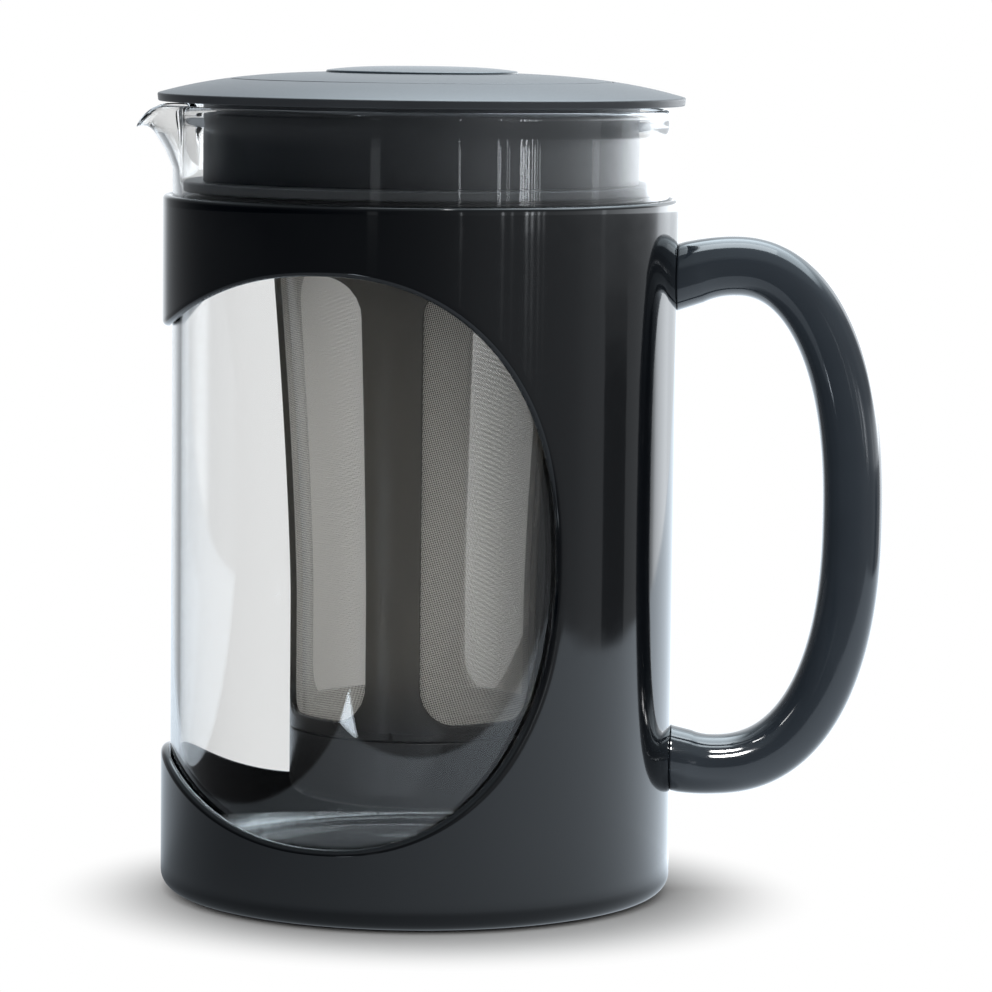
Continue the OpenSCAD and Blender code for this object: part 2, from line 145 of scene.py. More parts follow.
def rounded(corners, steps=6):
    """A line through (r, z, fillet) corners. Each fillet is a circular arc that touches both
    sides, with one more point just outside each of its ends, so that flats shade flat."""
    points = []
    for i, (r, z, fillet) in enumerate(corners):
        here = np.array([r, z])
        if fillet == 0 or i in (0, len(corners) - 1):
            points.append(here[None])
            continue
        back = np.array(corners[i - 1][:2]) - here
        ahead = np.array(corners[i + 1][:2]) - here
        back_length, ahead_length = np.linalg.norm(back), np.linalg.norm(ahead)
        back, ahead = back / back_length, ahead / ahead_length
        half = np.arccos(np.clip(back @ ahead, -1, 1)) / 2
        reach = min(fillet / np.tan(half), 0.48 * back_length, 0.48 * ahead_length)
        radius = reach * np.tan(half)
        middle = here + (back + ahead) / np.linalg.norm(back + ahead) * radius / np.sin(half)
        start = here + back * reach - middle
        end = here + ahead * reach - middle
        sweep = np.pi - 2 * half
        share = np.linspace(0, 1, steps + 1)[:, None]
        arc = middle + (start * np.sin((1 - share) * sweep) + end * np.sin(share * sweep)) / np.sin(sweep)
        points += [(here + back * min(reach * 1.25, 0.49 * back_length))[None], arc,
                   (here + ahead * min(reach * 1.25, 0.49 * ahead_length))[None]]
    return np.concatenate(points)


def turned(line, angles):
    """The sheet that a line of (r, z) points leaves as it turns about the axis:
    x is r cos angle, y is r sin angle."""
    r, z = line[:, 0, None], line[:, 1, None]
    return np.stack([r * np.cos(angles), r * np.sin(angles), z + 0 * angles], axis=-1)


FULL_TURN = np.linspace(0, 2 * np.pi, 241)


def add_piece(name, sheets, body, slot, material, *nodes):
    """One closed mesh from sheets of points, each an array of rows by columns by 3. The sheets
    share their edge points, which are merged, and the faces are turned to point outwards."""
    points = np.concatenate([sheet.reshape(-1, 3) for sheet in sheets])
    faces, first = [], 0
    for sheet in sheets:
        rows, columns = sheet.shape[:2]
        number = first + np.arange(rows * columns).reshape(rows, columns)
        quads = [number[:-1, :-1], number[:-1, 1:], number[1:, 1:], number[1:, :-1]]
        faces.append(np.stack(quads, axis=-1).reshape(-1, 4))
        first += rows * columns
    faces = np.concatenate(faces)
    mesh = bpy.data.meshes.new(name)
    mesh.vertices.add(len(points))
    mesh.vertices.foreach_set("co", points.ravel())
    mesh.loops.add(faces.size)
    mesh.loops.foreach_set("vertex_index", faces.ravel())
    mesh.polygons.add(len(faces))
    mesh.polygons.foreach_set("loop_start", np.arange(0, faces.size, 4))
    mesh.update(calc_edges=True)
    work = bmesh.new()
    work.from_mesh(mesh)
    bmesh.ops.remove_doubles(work, verts=work.verts, dist=2e-6)
    bmesh.ops.dissolve_degenerate(work, edges=work.edges, dist=1e-7)
    bmesh.ops.recalc_face_normals(work, faces=work.faces)
    work.to_mesh(mesh)
    work.free()
    mesh.polygons.foreach_set("use_smooth", np.ones(len(mesh.polygons), bool))
    mesh.materials.append(material)
    piece = bpy.data.objects.new(name, mesh)
    bpy.context.scene.collection.objects.link(piece)
    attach(piece, body)
    if nodes:
        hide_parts(*nodes)
    return piece


def pierced_wall(edge, borders, radii, fillets, place, closed, rows=22):
    """The two faces of a curved wall round an opening that is cut square to the wall, and the
    rounded edge that joins them. edge is the opening's outline as (angle, z), and borders hold,
    for the outer and the inner face, the face's outer border with as many points; each face is
    ruled between the two. place(angle, z, radius) puts a point in space. The edge is a quarter
    circle of its own radius on each side and a flat between them."""
    sheets, feet, rises = [], [], []
    for border, radius, fillet in zip(borders, radii, fillets):
        run = edge * [np.mean(radius(edge[:, 1])), 1]
        if closed:
            slope = (np.roll(run[:-1], -1, axis=0) - np.roll(run[:-1], 1, axis=0))
            slope = np.concatenate([slope, slope[:1]])
        else:
            slope = np.gradient(run, axis=0)
            slope[[0, -1], 1] = 0
        slope /= np.linalg.norm(slope, axis=1)[:, None]
        away = np.stack([-slope[:, 1], slope[:, 0]], axis=1)
        away /= [[np.mean(radius(edge[:, 1])), 1]]
        start = edge + fillet * away
        share = (np.linspace(0, 1, rows) ** 1.3)[:, None, None]
        flat = start + (border - start) * share
        sheets.append(place(flat[..., 0], flat[..., 1], radius(flat[..., 1])))
        foot = place(edge[:, 0], edge[:, 1], radius(edge[:, 1]))
        feet.append(foot)
        rises.append((sheets[-1][0] - foot) / fillet)
    depth = feet[1] - feet[0]
    depth /= np.linalg.norm(depth, axis=1)[:, None]
    bend = np.linspace(0, np.pi / 2, 6)[:, None, None]
    outer = feet[0] + fillets[0] * (rises[0] * (1 - np.sin(bend)) + depth * (1 - np.cos(bend)))
    inner = feet[1] + fillets[1] * (rises[1] * (1 - np.sin(bend)) - depth * (1 - np.cos(bend)))
    return sheets + [np.concatenate([outer, inner[::-1]])]


def window_outline(radius, count=180):
    """Front half of the sleeve's window in the sleeve's outside, from the spout's plane below,
    round the handle side, to the spout's plane above. x and z lie on a superellipse, and the
    angle is the arc cosine of x over the radius."""
    open_side = ((radius + WINDOW_MIDDLE[0]) / WINDOW_HALF[0]) ** (WINDOW_POWER / 2)
    turn = (np.pi - np.arccos(open_side)) * np.sin(np.linspace(-np.pi / 2, np.pi / 2, 1500))
    x = WINDOW_MIDDLE[0] + WINDOW_HALF[0] * power(np.cos(turn), 2 / WINDOW_POWER)
    z = WINDOW_MIDDLE[1] + WINDOW_HALF[1] * power(np.sin(turn), 2 / WINDOW_POWER)
    line = evenly(np.stack([np.arccos(np.clip(x / radius, -1, 1)) * radius, z], axis=1), count)
    return line / [radius, 1]


def sleeve_border(low, high, count=180):
    """Border of half the sleeve's wall as (angle, z), straight between four corners: along its foot
    to the handle, up, and back along its rim."""
    number = np.arange(count)
    corners = [0, round(0.36 * count), round(0.64 * count), count - 1]
    angle = np.interp(number, corners, [np.pi, 0, 0, np.pi])
    return np.stack([angle, np.interp(number, corners, [low, low, high, high])], axis=1)


inner_r = sleeve_r - SLEEVE_WALL
rim_fillet = SLEEVE_WALL / 2
floor_z = sleeve_foot + SLEEVE_FLOOR
inner_corner = SLEEVE_CORNER - SLEEVE_WALL / 2
wall_top = sleeve_rim - rim_fillet
wall_borders = [sleeve_border(sleeve_foot + SLEEVE_CORNER, wall_top),
                sleeve_border(floor_z + inner_corner, wall_top)]
half_circle = np.linspace(0, np.pi, 13)
rim_line = np.stack([sleeve_r - rim_fillet + rim_fillet * np.cos(half_circle),
                     wall_top + rim_fillet * np.sin(half_circle)], axis=1)
quarter = np.linspace(0, np.pi / 2, 10)
foot_line = np.concatenate([
    np.stack([sleeve_r - SLEEVE_CORNER * (1 - np.cos(quarter)),
              sleeve_foot + SLEEVE_CORNER * (1 - np.sin(quarter))], axis=1),
    rounded([(sleeve_r - SLEEVE_CORNER - CORNER_FLAT, sleeve_foot, 0),
             (PAD_RECESS[0], sleeve_foot, PAD_FILLET),
             (PAD_RECESS[0], sleeve_foot + PAD_RECESS[1], PAD_FILLET), (0, sleeve_foot + PAD_RECESS[1], 0)])])
floor_line = np.concatenate([
    np.stack([inner_r - inner_corner * (1 - np.cos(quarter)),
              floor_z + inner_corner * (1 - np.sin(quarter))], axis=1), [[0, floor_z]]])
foot_angles = wall_borders[0][wall_borders[0][:, 1] < sleeve_foot + SLEEVE_CORNER + 1e-6, 0]
rim_angles = wall_borders[0][wall_borders[0][:, 1] > wall_top - 1e-6, 0]
sleeve_sheets = []
for side in (-1, 1):
    def on_wall(angle, z, radius):
        return np.stack([radius * np.cos(angle), side * radius * np.sin(angle), z + 0 * angle], axis=-1)

    sleeve_sheets += pierced_wall(window_outline(sleeve_r), wall_borders,
                                  [lambda z: sleeve_r + 0 * z, lambda z: inner_r + 0 * z],
                                  WINDOW_FILLETS, on_wall, closed=False)
    sleeve_sheets += [turned(rim_line, side * rim_angles), turned(foot_line, side * foot_angles),
                      turned(floor_line, side * foot_angles)]

gloss_black, tree, shader = new_material("sleeve_plastic", (0.0025, 0.003, 0.0038), 0.06, IOR=1.5)
flow = noise(tree, 38, 2)
black_cast = tint(tree, flow, (0.0020, 0.0025, 0.0034), (0.0030, 0.0036, 0.0046))
tree.links.new(black_cast, shader.inputs["Base Color"])
tree.links.new(spread(tree, noise(tree, 220, 5), 0.03, 0.09), shader.inputs["Roughness"])
bump(tree, shader, flow, 0.00006)
add_piece("sleeve_shell", sleeve_sheets, "holder", "sleeve_plastic", gloss_black, "sleeve")


# ---------------------------------------------------------------- handle
# A solid loop moulded in the same plastic, oval in section, a little stouter at its two
# roots. Each root meets the sleeve in a fine open seam.
HANDLE_CROWN = (0.0724, 0.1451)     # highest point of the middle line, x and z
HANDLE_HEEL = (0.0683, 0.0293)
HANDLE_BELLY = (0.1004, 0.0883)
HANDLE_ROOTS = (0.1411, 0.0318)     # heights of the middle line at the sleeve
HANDLE_HALF = (0.0068, 0.008)       # half thickness and half width
HANDLE_FLARE = (0.001, 0.007)       # swelling at the roots, and how far it runs
HANDLE_POWERS = (2.25, 2.4, 2.4)    # upper bow, lower bow, section
ROOT_DEPTH = 0.002                  # how far the middle line runs into the sleeve
SEAM = 0.00028
root_x = sleeve_r - ROOT_DEPTH


def handle_line(count):
    """Middle line in the handle's plane: a parabola up from the upper root, two quarters of
    superellipses that meet at the belly, and a parabola back to the lower root."""
    share = np.linspace(0, 1, 60)
    turn = np.linspace(np.pi / 2, 0, 400)
    crown, heel, widest = np.array(HANDLE_CROWN), np.array(HANDLE_HEEL), np.array(HANDLE_BELLY)
    upper = np.stack([root_x + (crown[0] - root_x) * share,
                      crown[1] - (crown[1] - HANDLE_ROOTS[0]) * (1 - share) ** 2], axis=1)
    bow = np.stack([crown[0] + (widest[0] - crown[0]) * power(np.cos(turn), 2 / HANDLE_POWERS[0]),
                    widest[1] + (crown[1] - widest[1]) * power(np.sin(turn), 2 / HANDLE_POWERS[0])], axis=1)
    turn = turn[::-1]
    belly = np.stack([heel[0] + (widest[0] - heel[0]) * power(np.cos(turn), 2 / HANDLE_POWERS[1]),
                      widest[1] - (widest[1] - heel[1]) * power(np.sin(turn), 2 / HANDLE_POWERS[1])], axis=1)
    lower = np.stack([heel[0] + (root_x - heel[0]) * share,
                      heel[1] + (HANDLE_ROOTS[1] - heel[1]) * share ** 2], axis=1)
    return evenly(np.concatenate([upper, bow[1:], belly[1:], lower[1:]]), count)


def handle_sheet(count=220, sides=56):
    """Superellipse sections set square to the middle line, wider by a bell curve near the roots.
    The end rings are carried along the line to the sleeve's cylinder and drawn in by the seam."""
    line = handle_line(count)
    slope = np.gradient(line, axis=0)
    slope /= np.linalg.norm(slope, axis=1)[:, None]
    swell = HANDLE_FLARE[0] * np.exp(-((line[:, 0] - root_x) / HANDLE_FLARE[1]) ** 2)
    turn = np.linspace(0, 2 * np.pi, sides + 1)
    out = (HANDLE_HALF[0] + swell[:, None]) * power(np.cos(turn), 2 / HANDLE_POWERS[2])
    across = (HANDLE_HALF[1] + swell[:, None]) * power(np.sin(turn), 2 / HANDLE_POWERS[2])
    sheet = np.stack([line[:, 0, None] - slope[:, 1, None] * out, across,
                      line[:, 1, None] + slope[:, 0, None] * out], axis=-1)
    clear = sheet[..., 0] > np.sqrt(sleeve_r ** 2 - sheet[..., 1] ** 2) + 2.5 * SEAM
    kept = np.flatnonzero(clear.all(axis=1))
    sheet, slope = sheet[kept], slope[kept]
    ends = []
    for i in (0, -1):
        wall = np.sqrt(sleeve_r ** 2 - sheet[i, :, 1] ** 2)
        climb = slope[i, 1] / slope[i, 0]
        rings = []
        for gap, drawn in ((2 * SEAM, 0.0), (SEAM, 0.0), (0.4 * SEAM, 0.3 * SEAM), (0.0, SEAM)):
            ring = sheet[i].copy()
            ring[:, 2] += (wall + gap - ring[:, 0]) * climb
            ring[:, 0] = wall + gap
            middle = np.array([ring[:, 0].mean(), 0, ring[:, 2].mean()])
            inward = middle - ring
            inward[:, 0] = 0
            ring += inward / np.linalg.norm(inward, axis=1)[:, None] * drawn
            ring[:, 0] = np.sqrt(sleeve_r ** 2 - ring[:, 1] ** 2) + gap
            rings.append(ring)
        rings.append(np.repeat(rings[-1].mean(axis=0)[None], sides + 1, axis=0))
        ends.append(np.stack(rings))
    return np.concatenate([ends[0][::-1], sheet, ends[1]])


handle_black, tree, shader = new_material("handle_plastic", (0.012, 0.016, 0.022), 0.12, IOR=1.5)
flow = noise(tree, 60, 2)
tree.links.new(tint(tree, flow, (0.020, 0.026, 0.034), (0.028, 0.036, 0.046)), shader.inputs["Base Color"])
tree.links.new(spread(tree, noise(tree, 300, 5), 0.05, 0.12), shader.inputs["Roughness"])
bump(tree, shader, flow, 0.00005)
add_piece("handle_loop", [handle_sheet()], "holder", "handle_plastic", handle_black, "handle")


# ---------------------------------------------------------------- handle screws
# Two countersunk steel screws, driven from inside the sleeve into the handle's roots.
# Their heads lie sunk in the wall, behind the glass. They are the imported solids.
steel, tree, shader = new_material("screw_steel", (0.55, 0.56, 0.57), 0.3, Metallic=1.0)
brushing = noise(tree, 2500)
tree.links.new(spread(tree, brushing, 0.22, 0.4), shader.inputs["Roughness"])
tree.links.new(tint(tree, brushing, (0.48, 0.49, 0.5), (0.62, 0.63, 0.64)), shader.inputs["Base Color"])
coat_cad_node("handle_screws", steel)


# ---------------------------------------------------------------- cushion
# A thin disc of the same silicone as the foot pad lies on the sleeve's floor, and the
# glass stands on it.
coat_cad_node("glass_cushion", silicone)


# ---------------------------------------------------------------- carafe
# Blown borosilicate glass, 2 mm thick, with a heavier rounded foot, a raised floor, a
# fire-polished bead round the rim and a spout pinched out of it while hot.
GLASS_PLAY = 0.0004                 # between the glass and the sleeve
GLASS_WALL = 0.002
GLASS_FLOOR = 0.0026
GLASS_CORNER = 0.009
PUNT = 0.0018                       # height of the raised floor
BEAD_SWELL = 0.0003                 # how far the bead stands out from both faces of the wall
BEAD_RUN = 0.006                    # the wall starts to swell this far below the rim
SPOUT_REACH = 0.0081
SPOUT_DEPTH = 0.0145
SPOUT_HALF_ANGLE = np.radians(17)
SPOUT_POWER = 1.35
SPOUT_DROOP = 0.004
DROOP_START = 0.45                  # the lip droops where the pull is more than this share
glass_low, glass_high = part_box("carafe")
glass_r = sleeve_r - SLEEVE_WALL - GLASS_PLAY
bore_r = glass_r - GLASS_WALL
glass_z, rim_z = glass_low.z, glass_high.z
bead = GLASS_WALL / 2 + BEAD_SWELL


def glass_line():
    """Half section of the glass, from the middle of its underside out, up, over the bead, down
    inside and back to the axis. The punt is a cosine hill, the corners are quarter circles."""
    ring = glass_r - 2 * GLASS_CORNER
    hill = np.linspace(0, ring, 24)
    rise = PUNT * (1 + np.cos(np.pi * hill / ring)) / 2
    turn = np.linspace(0, np.pi / 2, 14)
    over = np.linspace(0, np.pi, 20)
    inside = GLASS_CORNER - GLASS_WALL
    wall = np.linspace(0, 1, 40)
    low, high = glass_z + GLASS_CORNER, rim_z - BEAD_RUN
    under = np.stack([hill, glass_z + rise], axis=1)
    corner = np.stack([glass_r - GLASS_CORNER * (1 - np.sin(turn)),
                       glass_z + GLASS_CORNER * (1 - np.cos(turn))], axis=1)
    outside = np.stack([glass_r + 0 * wall, low + (high - low) * wall], axis=1)
    lip = np.stack([glass_r - GLASS_WALL / 2 + bead * np.cos(over),
                    rim_z - bead + bead * np.sin(over)], axis=1)
    back = np.stack([bore_r + 0 * wall, high + (low - high) * wall], axis=1)
    inner = np.stack([bore_r - inside * (1 - np.cos(turn)),
                      glass_z + GLASS_FLOOR + inside * (1 - np.sin(turn))], axis=1)
    floor = np.stack([hill[::-1], glass_z + GLASS_FLOOR + rise[::-1]], axis=1)
    swell = np.linspace(0, 1, 10)[1:-1]
    ease = swell ** 2 * (3 - 2 * swell)
    up = np.stack([glass_r + BEAD_SWELL * ease, high + (rim_z - bead - high) * swell], axis=1)
    down = np.stack([bore_r - BEAD_SWELL * ease[::-1], high + (rim_z - bead - high) * swell[::-1]], axis=1)
    return np.concatenate([under, corner, outside[1:], up, lip, down, back, inner[1:], floor])


def pinch_spout(sheet):
    """Draws the rim out into a spout. The pull is a cosine bell round the spout's direction, it
    fades to nothing at the spout's depth below the rim, and where it is strongest the lip droops."""
    angle = np.arctan2(sheet[..., 1], -sheet[..., 0])
    bell = np.where(np.abs(angle) < SPOUT_HALF_ANGLE, np.cos(angle / SPOUT_HALF_ANGLE * np.pi / 2), 0)
    height = np.clip((sheet[..., 2] - rim_z + SPOUT_DEPTH) / (SPOUT_DEPTH - bead), 0, 1)
    pull = SPOUT_REACH * (bell * height) ** SPOUT_POWER
    radius = np.hypot(sheet[..., 0], sheet[..., 1])
    grown = np.where(radius > 0.5 * bore_r, (radius + pull) / np.maximum(radius, 1e-9), 1)
    drop = SPOUT_DROOP * (np.clip(pull / SPOUT_REACH - DROOP_START, 0, 1) / (1 - DROOP_START)) ** 2
    out = sheet * np.stack([grown, grown, np.ones_like(grown)], axis=-1)
    out[..., 2] -= drop
    return out


around = np.linspace(0, 2 * np.pi, 400)
spout_dense = around + 0.55 * np.sin(around)      # columns crowd towards the spout at half a turn
glass, tree, shader = new_material("carafe_glass", (0.925, 0.93, 0.93), 0.0, IOR=1.47,
                                   Transmission_Weight=1.0)
lights_pass = tree.nodes.new("ShaderNodeLightPath")
clear = tree.nodes.new("ShaderNodeBsdfTransparent")
clear.inputs["Color"].default_value = (0.93, 0.94, 0.94, 1)
either = tree.nodes.new("ShaderNodeMixShader")
tree.links.new(lights_pass.outputs["Is Shadow Ray"], either.inputs[0])
tree.links.new(shader.outputs[0], either.inputs[1])
tree.links.new(clear.outputs[0], either.inputs[2])
tree.links.new(either.outputs[0], tree.nodes["Material Output"].inputs["Surface"])
add_piece("carafe_blown", [pinch_spout(turned(glass_line(), spout_dense))],
          "glass", "carafe_glass", glass, "carafe")


# ---------------------------------------------------------------- lid gasket
# A ring of smoky silicone stretched over the foot of the lid's neck. Two soft lips reach
# out to the glass and seal it.
NECK_R = 0.0499
SKIN = 0.00005                      # between touching pieces
GASKET_BASE = 0.0009                # thickness of the ring that carries the lips
LIP = 0.0028
LIP_STEP = 0.00365                  # from one lip's top to the next
LIP_TAPER = 0.0004
LIP_FILLETS = (0.0006, 0.0005)      # at the lip's tip and at its root
GASKET_FILLETS = (0.0002, 0.0003)   # against the neck and below
gasket_low, gasket_high = (corner.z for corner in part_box("lid_gasket"))
lip_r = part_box("lid_gasket")[1].y
body_r = NECK_R + GASKET_BASE
hold_r = NECK_R + SKIN
mid = gasket_high - LIP_STEP
gasket_line = rounded([
    (hold_r, mid, 0), (hold_r, gasket_low, GASKET_FILLETS[0]), (body_r, gasket_low, GASKET_FILLETS[1]),
    (body_r, mid - LIP, LIP_FILLETS[1]), (lip_r, mid - LIP + LIP_TAPER, LIP_FILLETS[0]),
    (lip_r, mid, LIP_FILLETS[0]), (body_r, mid, LIP_FILLETS[1]),
    (body_r, gasket_high - LIP, LIP_FILLETS[1]), (lip_r, gasket_high - LIP + LIP_TAPER, LIP_FILLETS[0]),
    (lip_r, gasket_high, LIP_FILLETS[0]), (hold_r, gasket_high, GASKET_FILLETS[0]), (hold_r, mid, 0)])
smoke_silicone, tree, shader = new_material("gasket_silicone", (0.05, 0.055, 0.06), 0.35, IOR=1.42)
tree.links.new(spread(tree, noise(tree, 700), 0.25, 0.45), shader.inputs["Roughness"])
smoke = tint(tree, noise(tree, 90), (0.04, 0.045, 0.05), (0.06, 0.066, 0.072))
tree.links.new(smoke, shader.inputs["Base Color"])
add_piece("gasket_ring", [turned(gasket_line, FULL_TURN)],
          "lid_ring", "gasket_silicone", smoke_silicone, "lid_gasket")


# ---------------------------------------------------------------- lid body
# Rim, neck and web moulded in one piece, satin blue-black. The rim is a shallow dome that
# overhangs the glass; the neck reaches down inside it, and the web closes the neck's foot.
DOME_POWER = 3.4
COVER_R = 0.0435
GROOVE = 0.0004
COVER_LEDGE = 0.003                 # how far the cover's edge rests on the rim
LID_WALL = 0.002
LID_UNDER = 0.1817                  # height of the rim's underside
LID_EDGE = 0.0018
LID_LIP = (0.0015, 0.0013, 0.0022)  # width of the edge's foot, above, below, and where the dome starts
DOME_RISE = 0.0052
WEB_INSET = 0.002
body_low, body_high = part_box("lid_body")
cover_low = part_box("lid_cover")[0]
lid_r = body_high.y
dome_foot = LID_UNDER + LID_EDGE
web_z = body_low.z
web_r = lip_r - WEB_INSET


def dome(r):
    """Height of the lid's top at a radius: the rise falls off by a power of the radius."""
    return dome_foot + DOME_RISE * (1 - (r / lid_r) ** DOME_POWER)


def dome_corners(start, end, count, down=0.0):
    """Points along the dome between two radii, as corners without fillets."""
    return [(r, dome(r) - down, 0) for r in np.linspace(start, end, count)]


seat_r = COVER_R + GROOVE
cover_foot = COVER_R - COVER_LEDGE
ledge_z = cover_low.z
lid_body_line = rounded(
    [(0, web_z, 0), (web_r, web_z, 0.0006), (web_r, web_z + LID_WALL, 0.0004),
     (NECK_R, web_z + LID_WALL, 0.0003), (NECK_R, dome(NECK_R) - LID_WALL, 0.0008)]
    + dome_corners(NECK_R + 0.0012, lid_r - LID_LIP[2], 8, LID_WALL)
    + [(lid_r - LID_LIP[0], dome(lid_r - LID_LIP[0]) - LID_WALL, 0.0002),
       (lid_r - LID_LIP[1], LID_UNDER, 0.0002), (lid_r - 0.0002, LID_UNDER, 0.0003),
       (lid_r, dome_foot, 0.00045)]
    + dome_corners(lid_r - 0.0011, seat_r + 0.0008, 16)
    + [(seat_r, dome(seat_r), 0.0003), (seat_r, ledge_z, 0.0001), (cover_foot, ledge_z, 0.0002),
       (cover_foot, ledge_z - LID_WALL, 0.0002), (NECK_R - LID_WALL, ledge_z - LID_WALL, 0.0005),
       (NECK_R - LID_WALL, web_z + LID_WALL, 0.0005), (0, web_z + LID_WALL, 0)])

satin_black, tree, shader = new_material("lid_plastic", (0.016, 0.019, 0.023), 0.36, IOR=1.5)
spark = noise(tree, 5200, 2)
satin_cast = tint(tree, noise(tree, 55), (0.014, 0.017, 0.021), (0.019, 0.022, 0.027))
tree.links.new(satin_cast, shader.inputs["Base Color"])
tree.links.new(spread(tree, spark, 0.3, 0.46), shader.inputs["Roughness"])
bump(tree, shader, spark, 0.000002)
add_piece("lid_rim_and_neck", [turned(lid_body_line, FULL_TURN)],
          "lid", "lid_plastic", satin_black, "lid_body")


# ---------------------------------------------------------------- lid cover
# A domed disc in the same satin plastic, snapped into the rim with a fine groove round it,
# so that the neck below is a closed hollow. Its middle is sunk for the button.
BADGE_SINK = 0.001                  # depth of the hollow for the button, and the skin under it
badge_low, badge_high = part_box("lid_badge")
badge_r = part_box("lid_badge")[1].y
sink = dome(badge_r) - BADGE_SINK
cover_line = rounded(
    [(0, sink - BADGE_SINK, 0), (badge_r - BADGE_SINK, sink - BADGE_SINK, 0.0004)]
    + dome_corners(badge_r + 0.0005, cover_foot - 0.0002, 8, LID_WALL)
    + [(cover_foot, dome(cover_foot) - LID_WALL, 0.0003), (cover_foot, ledge_z, 0.0002),
       (COVER_R, ledge_z, 0.0002), (COVER_R, dome(COVER_R), 0.0003)]
    + dome_corners(COVER_R - 0.0008, badge_r + 0.0006, 12)
    + [(badge_r + SKIN, dome(badge_r), 0.00015), (badge_r + SKIN, sink, 0.0001), (0, sink, 0)])
add_piece("lid_top_disc", [turned(cover_line, FULL_TURN)],
          "lid", "lid_plastic", satin_black, "lid_cover")


# ---------------------------------------------------------------- lid button
# A low lens-shaped button pressed into the cover, in a bluer satin finish. It is left
# plain, and only trims the middle of the lid.
BADGE_PROUD = 0.0005                # how far its edge stands above the cover
badge_edge = dome(badge_r) + BADGE_PROUD
lens = [(badge_r * share, badge_edge + (badge_high.z - badge_edge) * (1 - share ** DOME_POWER), 0)
        for share in np.linspace(1, 0, 22)[1:]]
badge_line = rounded([(0, badge_low.z, 0), (badge_r, badge_low.z, 0.0002), (badge_r, badge_edge, 0.0004)]
                     + lens)
satin_blue, tree, shader = new_material("badge_plastic", (0.02, 0.032, 0.042), 0.28, IOR=1.5)
blue_cast = tint(tree, noise(tree, 120), (0.018, 0.029, 0.039), (0.023, 0.036, 0.047))
tree.links.new(blue_cast, shader.inputs["Base Color"])
tree.links.new(spread(tree, noise(tree, 4000, 2), 0.22, 0.36), shader.inputs["Roughness"])
add_piece("lid_button", [turned(badge_line, FULL_TURN)], "lid", "badge_plastic", satin_blue, "lid_badge")


# ---------------------------------------------------------------- lid socket
# A threaded socket under the web, in the lid's own satin plastic, takes the brew core. It is
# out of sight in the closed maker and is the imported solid.
coat_cad_node("lid_socket", satin_black)


# ---------------------------------------------------------------- core seal
# A flat ring of smoky silicone between the brew core's top and the lid's web. It is the
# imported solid.
coat_cad_node("core_seal", smoke_silicone)


# ---------------------------------------------------------------- core collar
# The threaded ring on top of the brew core, in smoky plastic. It screws up into the lid's socket and is
# the imported solid. Its material has painted shade: it is darker towards the core's foot, low in the sleeve.
PAINTED_SHADE_RISE = (0.036, 0.060)         # heights between which the painted shade fades from dark below to the plastic's own colour above


def fade(tree, value, start, end):
    """0 before start and 1 after end, smoothly."""
    node = tree.nodes.new("ShaderNodeMapRange")
    node.interpolation_type = "SMOOTHSTEP"
    node.inputs["From Min"].default_value = start
    node.inputs["From Max"].default_value = end
    tree.links.new(value, node.inputs["Value"])
    return node.outputs["Result"]


core_black, tree, shader = new_material("core_plastic", (0.06, 0.057, 0.05), 0.22, IOR=1.5)
place = tree.nodes.new("ShaderNodeTexCoord")
height = tree.nodes.new("ShaderNodeSeparateXYZ")
tree.links.new(place.outputs["Object"], height.inputs[0])
# painted shade: the cage and cap turn dark below these heights
lit = fade(tree, height.outputs["Z"], *PAINTED_SHADE_RISE)
tree.links.new(tint(tree, lit, (0.010, 0.010, 0.0105), (0.062, 0.058, 0.050)), shader.inputs["Base Color"])
tree.links.new(spread(tree, noise(tree, 500), 0.16, 0.3), shader.inputs["Roughness"])
coat_cad_node("core_collar", core_black)


# ---------------------------------------------------------------- core frame
# The brew core's cage: a tube 3 mm thick that flares towards the top, with four tall
# round-cornered windows and four broad ribs between them.
CORE_R = 0.0293
CORE_TOP_R = 0.0339
CORE_FLARE = 0.078
CORE_FLARE_POWER = 1.4
CORE_WALL = 0.003
CORE_CLOCK = np.radians(-101)       # front rib's direction, from +X
MESH_HALF_ANGLE = np.radians(32.5)
MESH_CORNER = 0.0085
MESH_BANDS = (0.0036, 0.0088)       # solid below and above the windows
CORE_FILLET = 0.0006
core_low, core_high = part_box("core_frame")
collar_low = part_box("core_collar")[0].z
mesh_foot, mesh_top = core_low.z + MESH_BANDS[0], core_high.z - MESH_BANDS[1]


def core_radius(z):
    """Outer radius of the core at a height: straight below, widening by a power above."""
    climb = np.clip((z - collar_low + CORE_FLARE) / CORE_FLARE, 0, 1)
    return CORE_R + (CORE_TOP_R - CORE_R) * climb ** CORE_FLARE_POWER


def mesh_outline(count=40):
    """One window of the cage as (angle, z), closed: a rectangle with quarter-circle corners,
    each side resampled evenly from the middle of one corner to the middle of the next."""
    half_w, low, high = MESH_HALF_ANGLE * CORE_R, mesh_foot, mesh_top
    arc = np.linspace(0, np.pi / 2, 17)
    middles = [(half_w - MESH_CORNER, high - MESH_CORNER), (-half_w + MESH_CORNER, high - MESH_CORNER),
               (-half_w + MESH_CORNER, low + MESH_CORNER), (half_w - MESH_CORNER, low + MESH_CORNER)]
    corners = [np.stack([x + MESH_CORNER * np.cos(arc + k * np.pi / 2),
                         z + MESH_CORNER * np.sin(arc + k * np.pi / 2)], axis=1)
               for k, (x, z) in enumerate(middles)]
    sides = [evenly(np.concatenate([corners[k][8:], corners[(k + 1) % 4][:9]]), count)[:-1] for k in range(4)]
    line = np.concatenate(sides + [sides[0][:1]])
    return line[::-1] / [CORE_R, 1]


